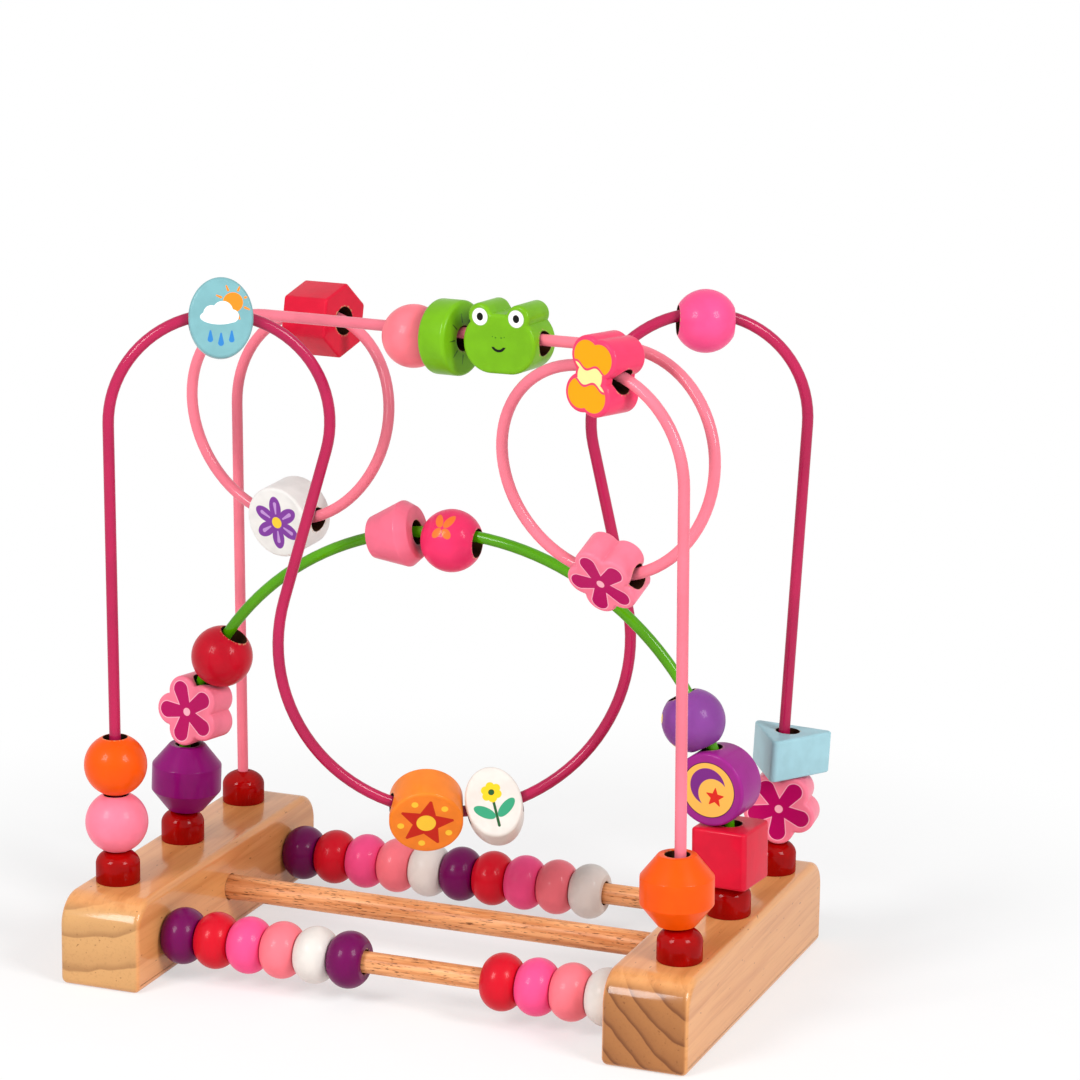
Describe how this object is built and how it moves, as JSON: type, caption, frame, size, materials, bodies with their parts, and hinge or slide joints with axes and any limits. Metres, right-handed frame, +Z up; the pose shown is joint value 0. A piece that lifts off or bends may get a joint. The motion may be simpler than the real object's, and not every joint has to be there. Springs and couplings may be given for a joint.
{
  "type": "bead maze",
  "caption": "Wooden bead maze toy: rails on dowels carry bent coated wires that loop and cross, with painted beads that slide along the wires and counting beads on the rods.",
  "frame": {"origin": "on the table, in the middle of the outline; the rails' middle is 2.2 mm to the left of it", "axes": "+X along the dowels from the left rail to the right one, +Y from front to back, +Z up"},
  "size_m": [0.2366, 0.15, 0.2462],
  "materials": {
    "pine": "clear lacquer",
    "beech": "oiled",
    "cap_red": "gloss",
    "wire_magenta": "gloss coat",
    "wire_pink": "gloss coat",
    "wire_green": "gloss coat",
    "paint_purple": "satin paint",
    "paint_red": "satin paint",
    "paint_hot_pink": "satin paint",
    "paint_light_pink": "satin paint",
    "paint_pale_pink": "satin paint",
    "paint_white": "satin paint",
    "paint_orange": "satin paint",
    "paint_peach": "satin paint",
    "paint_blue": "satin paint",
    "paint_green": "satin paint",
    "paint_violet": "satin paint"
  },
  "bodies": {
    "base": {"rail_left": "pine", "rail_right": "pine", "dowel_front": "beech", "dowel_middle": "beech", "dowel_back": "beech", "cap_left_front": "cap_red", "cap_left_middle": "cap_red", "cap_left_back": "cap_red", "cap_right_front": "cap_red", "cap_right_middle": "cap_red", "cap_right_back": "cap_red", "wire_magenta": "wire_magenta", "wire_pink": "wire_pink", "wire_green": "wire_green"},
    "pink_ball": {"pink_ball": "paint_pale_pink"},
    "orange_ball": {"orange_ball": "paint_orange"},
    "blue_oval": {"blue_oval": "paint_blue"},
    "orange_disc": {"orange_disc": "paint_peach"},
    "white_oval": {"white_oval": "paint_white"},
    "hotpink_ball": {"hotpink_ball": "paint_hot_pink"},
    "right_flower": {"right_flower": "paint_pale_pink"},
    "blue_triangle": {"blue_triangle": "paint_blue"},
    "red_hexagon": {"red_hexagon": "paint_red"},
    "white_disc": {"white_disc": "paint_white"},
    "top_ball": {"top_ball": "paint_light_pink"},
    "green_ring": {"green_ring": "paint_green"},
    "frog_head": {"frog_head": "paint_green"},
    "clover_block": {"clover_block": "paint_hot_pink"},
    "loop_flower": {"loop_flower": "paint_pale_pink"},
    "orange_drum": {"orange_drum": "paint_orange"},
    "purple_drum": {"purple_drum": "paint_purple"},
    "left_flower": {"left_flower": "paint_pale_pink"},
    "red_ball": {"red_ball": "paint_red"},
    "pink_cone": {"pink_cone": "paint_light_pink"},
    "printed_ball": {"printed_ball": "paint_hot_pink"},
    "red_cube": {"red_cube": "paint_red"},
    "purple_disc": {"purple_disc": "paint_purple"},
    "purple_ball": {"purple_ball": "paint_violet"},
    "front_bead_1": {"front_bead_1": "paint_purple"},
    "front_bead_2": {"front_bead_2": "paint_red"},
    "front_bead_3": {"front_bead_3": "paint_hot_pink"},
    "front_bead_4": {"front_bead_4": "paint_light_pink"},
    "front_bead_5": {"front_bead_5": "paint_white"},
    "front_bead_6": {"front_bead_6": "paint_purple"},
    "front_bead_10": {"front_bead_10": "paint_white"},
    "front_bead_9": {"front_bead_9": "paint_light_pink"},
    "front_bead_8": {"front_bead_8": "paint_hot_pink"},
    "front_bead_7": {"front_bead_7": "paint_red"},
    "back_bead_1": {"back_bead_1": "paint_purple"},
    "back_bead_2": {"back_bead_2": "paint_red"},
    "back_bead_3": {"back_bead_3": "paint_hot_pink"},
    "back_bead_4": {"back_bead_4": "paint_light_pink"},
    "back_bead_5": {"back_bead_5": "paint_white"},
    "back_bead_6": {"back_bead_6": "paint_purple"},
    "back_bead_7": {"back_bead_7": "paint_red"},
    "back_bead_8": {"back_bead_8": "paint_hot_pink"},
    "back_bead_9": {"back_bead_9": "paint_light_pink"},
    "back_bead_10": {"back_bead_10": "paint_white"}
  },
  "joints": [
    {"name": "pink_ball_run", "type": "slide", "parent": "base", "child": "pink_ball", "axis": [-0.0093, -0.0046, 0.9999], "range_m": [0, 0.05]},
    {"name": "orange_ball_run", "type": "slide", "parent": "pink_ball", "child": "orange_ball", "axis": [-0.0093, -0.0046, 0.9999], "range_m": [0, 0.055]},
    {"name": "blue_oval_run", "type": "hinge", "parent": "base", "child": "blue_oval", "pos_m": [-0.07389, -0.0355, 0.1955], "axis": [-0.4438, 0.8961, 0], "range_deg": [-65, 65]},
    {"name": "orange_disc_run", "type": "hinge", "parent": "base", "child": "orange_disc", "pos_m": [-0.00086, 0.00067, 0.117], "axis": [0.4438, -0.8961, 0], "range_deg": [-45, 45]},
    {"name": "white_oval_run", "type": "hinge", "parent": "orange_disc", "child": "white_oval", "pos_m": [-0.00086, 0.00067, 0.117], "axis": [0.4438, -0.8961, 0], "range_deg": [0, 30]},
    {"name": "hotpink_ball_run", "type": "hinge", "parent": "base", "child": "hotpink_ball", "pos_m": [0.07442, 0.03794, 0.1955], "axis": [-0.4438, 0.8961, 0], "range_deg": [-65, 65]},
    {"name": "right_flower_run", "type": "slide", "parent": "base", "child": "right_flower", "axis": [0.0396, 0.0196, 0.999], "range_m": [0, 0.05]},
    {"name": "blue_triangle_run", "type": "slide", "parent": "right_flower", "child": "blue_triangle", "axis": [0.0396, 0.0196, 0.999], "range_m": [0, 0.055]},
    {"name": "red_hexagon_run", "type": "hinge", "parent": "base", "child": "red_hexagon", "pos_m": [-0.0724, 0.04401, 0.18389], "axis": [-0.2164, -0.9763, 0], "range_deg": [0, 70]},
    {"name": "white_disc_run", "type": "hinge", "parent": "base", "child": "white_disc", "pos_m": [-0.07722, 0.01901, 0.18693], "axis": [0.2091, 0.968, 0.1391], "range_deg": [0, 140]},
    {"name": "top_ball_run", "type": "slide", "parent": "base", "child": "top_ball", "axis": [0.9756, -0.2163, 0.0384], "range_m": [-0.05, 0.008]},
    {"name": "green_ring_run", "type": "slide", "parent": "top_ball", "child": "green_ring", "axis": [0.9756, -0.2163, 0.0384], "range_m": [0, 0.008]},
    {"name": "frog_head_run", "type": "slide", "parent": "green_ring", "child": "frog_head", "axis": [0.9756, -0.2163, 0.0384], "range_m": [0, 0.016]},
    {"name": "clover_block_run", "type": "hinge", "parent": "base", "child": "clover_block", "pos_m": [0.06323, -0.04295, 0.19111], "axis": [0.2164, 0.9763, 0], "range_deg": [0, 58]},
    {"name": "loop_flower_run", "type": "hinge", "parent": "base", "child": "loop_flower", "pos_m": [0.0636, -0.03575, 0.19155], "axis": [0.2053, 0.9599, 0.191], "range_deg": [0, 120]},
    {"name": "orange_drum_run", "type": "slide", "parent": "base", "child": "orange_drum", "axis": [-0.0153, 0.0034, 0.9999], "range_m": [0, 0.118]},
    {"name": "purple_drum_run", "type": "hinge", "parent": "base", "child": "purple_drum", "pos_m": [-0.0022, 0, 0.0523], "axis": [0, 1, 0], "range_deg": [0, 20]},
    {"name": "left_flower_run", "type": "hinge", "parent": "purple_drum", "child": "left_flower", "pos_m": [-0.0022, 0, 0.0523], "axis": [0, 1, 0], "range_deg": [0, 20]},
    {"name": "red_ball_run", "type": "hinge", "parent": "left_flower", "child": "red_ball", "pos_m": [-0.0022, 0, 0.0523], "axis": [0, 1, 0], "range_deg": [0, 18]},
    {"name": "pink_cone_run", "type": "hinge", "parent": "base", "child": "pink_cone", "pos_m": [-0.0022, 0, 0.0523], "axis": [0, 1, 0], "range_deg": [-30, 22]},
    {"name": "printed_ball_run", "type": "hinge", "parent": "pink_cone", "child": "printed_ball", "pos_m": [-0.0022, 0, 0.0523], "axis": [0, 1, 0], "range_deg": [0, 28]},
    {"name": "red_cube_run", "type": "hinge", "parent": "base", "child": "red_cube", "pos_m": [-0.0022, 0, 0.0523], "axis": [0, 1, 0], "range_deg": [-24, 0]},
    {"name": "purple_disc_run", "type": "hinge", "parent": "red_cube", "child": "purple_disc", "pos_m": [-0.0022, 0, 0.0523], "axis": [0, 1, 0], "range_deg": [-24, 0]},
    {"name": "purple_ball_run", "type": "hinge", "parent": "purple_disc", "child": "purple_ball", "pos_m": [-0.0022, 0, 0.0523], "axis": [0, 1, 0], "range_deg": [-24, 0]},
    {"name": "front_bead_1_run", "type": "slide", "parent": "base", "child": "front_bead_1", "axis": [1, 0, 0], "range_m": [0, 0.02]},
    {"name": "front_bead_2_run", "type": "slide", "parent": "front_bead_1", "child": "front_bead_2", "axis": [1, 0, 0], "range_m": [0, 0.0048]},
    {"name": "front_bead_3_run", "type": "slide", "parent": "front_bead_2", "child": "front_bead_3", "axis": [1, 0, 0], "range_m": [0, 0.0048]},
    {"name": "front_bead_4_run", "type": "slide", "parent": "front_bead_3", "child": "front_bead_4", "axis": [1, 0, 0], "range_m": [0, 0.0048]},
    {"name": "front_bead_5_run", "type": "slide", "parent": "front_bead_4", "child": "front_bead_5", "axis": [1, 0, 0], "range_m": [0, 0.0048]},
    {"name": "front_bead_6_run", "type": "slide", "parent": "front_bead_5", "child": "front_bead_6", "axis": [1, 0, 0], "range_m": [0, 0.0048]},
    {"name": "front_bead_10_run", "type": "slide", "parent": "base", "child": "front_bead_10", "axis": [1, 0, 0], "range_m": [-0.02, 0]},
    {"name": "front_bead_9_run", "type": "slide", "parent": "front_bead_10", "child": "front_bead_9", "axis": [1, 0, 0], "range_m": [-0.008, 0]},
    {"name": "front_bead_8_run", "type": "slide", "parent": "front_bead_9", "child": "front_bead_8", "axis": [1, 0, 0], "range_m": [-0.008, 0]},
    {"name": "front_bead_7_run", "type": "slide", "parent": "front_bead_8", "child": "front_bead_7", "axis": [1, 0, 0], "range_m": [-0.008, 0]},
    {"name": "back_bead_1_run", "type": "slide", "parent": "base", "child": "back_bead_1", "axis": [1, 0, 0], "range_m": [0, 0.0168]},
    {"name": "back_bead_2_run", "type": "slide", "parent": "back_bead_1", "child": "back_bead_2", "axis": [1, 0, 0], "range_m": [0, 0.003]},
    {"name": "back_bead_3_run", "type": "slide", "parent": "back_bead_2", "child": "back_bead_3", "axis": [1, 0, 0], "range_m": [0, 0.003]},
    {"name": "back_bead_4_run", "type": "slide", "parent": "back_bead_3", "child": "back_bead_4", "axis": [1, 0, 0], "range_m": [0, 0.003]},
    {"name": "back_bead_5_run", "type": "slide", "parent": "back_bead_4", "child": "back_bead_5", "axis": [1, 0, 0], "range_m": [0, 0.003]},
    {"name": "back_bead_6_run", "type": "slide", "parent": "back_bead_5", "child": "back_bead_6", "axis": [1, 0, 0], "range_m": [0, 0.003]},
    {"name": "back_bead_7_run", "type": "slide", "parent": "back_bead_6", "child": "back_bead_7", "axis": [1, 0, 0], "range_m": [0, 0.003]},
    {"name": "back_bead_8_run", "type": "slide", "parent": "back_bead_7", "child": "back_bead_8", "axis": [1, 0, 0], "range_m": [0, 0.003]},
    {"name": "back_bead_9_run", "type": "slide", "parent": "back_bead_8", "child": "back_bead_9", "axis": [1, 0, 0], "range_m": [0, 0.003]},
    {"name": "back_bead_10_run", "type": "slide", "parent": "back_bead_9", "child": "back_bead_10", "axis": [1, 0, 0], "range_m": [0, 0.003]}
  ]
}
